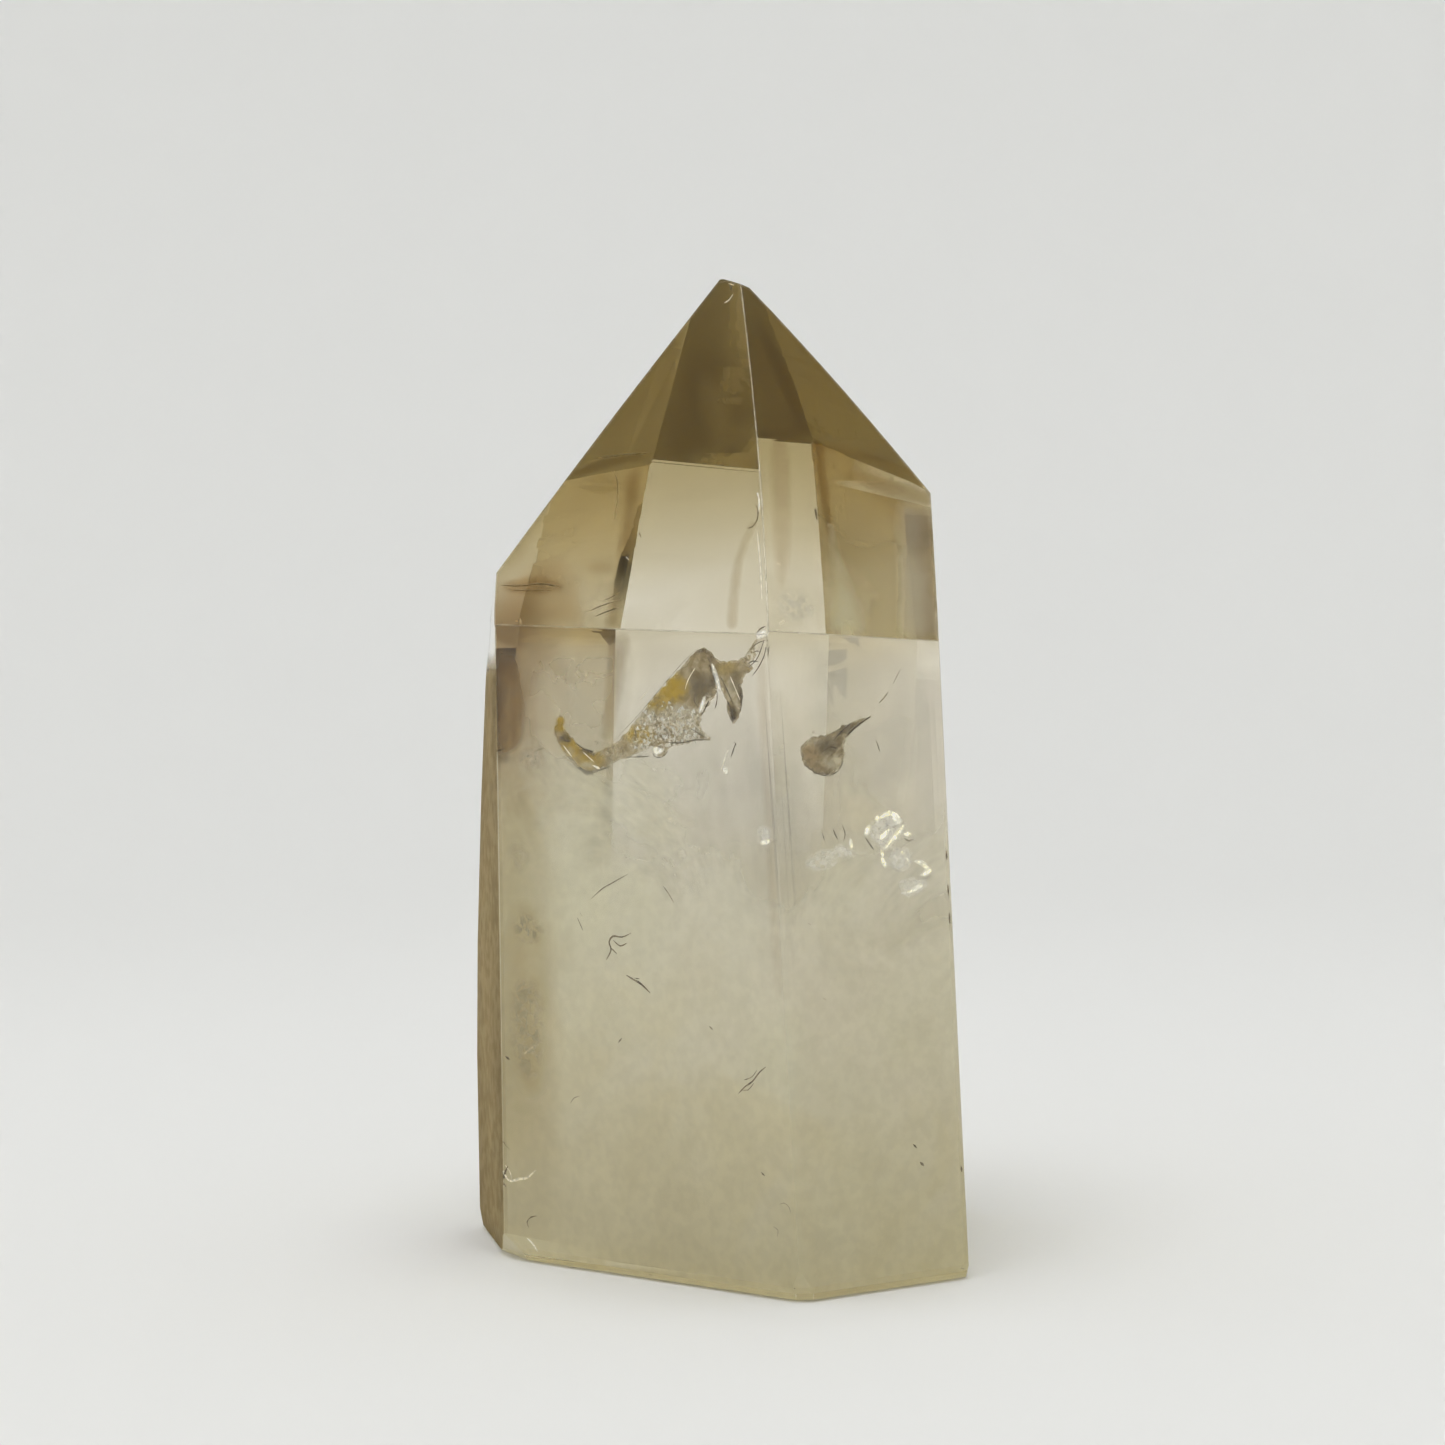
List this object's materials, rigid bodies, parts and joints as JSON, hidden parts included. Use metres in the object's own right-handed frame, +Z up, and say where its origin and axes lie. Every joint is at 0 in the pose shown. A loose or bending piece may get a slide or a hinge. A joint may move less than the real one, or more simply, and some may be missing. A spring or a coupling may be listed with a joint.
{
  "type": "smoky quartz point",
  "caption": "Polished six-sided point of smoky quartz that stands on its flat base, clear at the tip, milky lower down, with rust-stained cracks inside.",
  "frame": {"origin": "middle of the stone's footprint, on the surface that it stands on", "axes": "+Z up through the point; -Y is the front, where the edge between the two front faces looks; +X to the right"},
  "size_m": [0.0444, 0.0516, 0.0848],
  "materials": {
    "quartz": "clear smoky quartz, polished, index of refraction 1.544, a weak grey-brown absorption",
    "milk": "fine milky cloud sealed in the quartz, thin at the shoulder and dense at the base",
    "rust": "matt iron stain, golden brown, on healed cracks sealed in the quartz",
    "flash": "thin air-filled crack in the quartz that flashes pale yellow",
    "fleck": "dark speck or hairline crack sealed in the quartz"
  },
  "bodies": {
    "root": {"crystal_point": "quartz"}
  },
  "joints": []
}
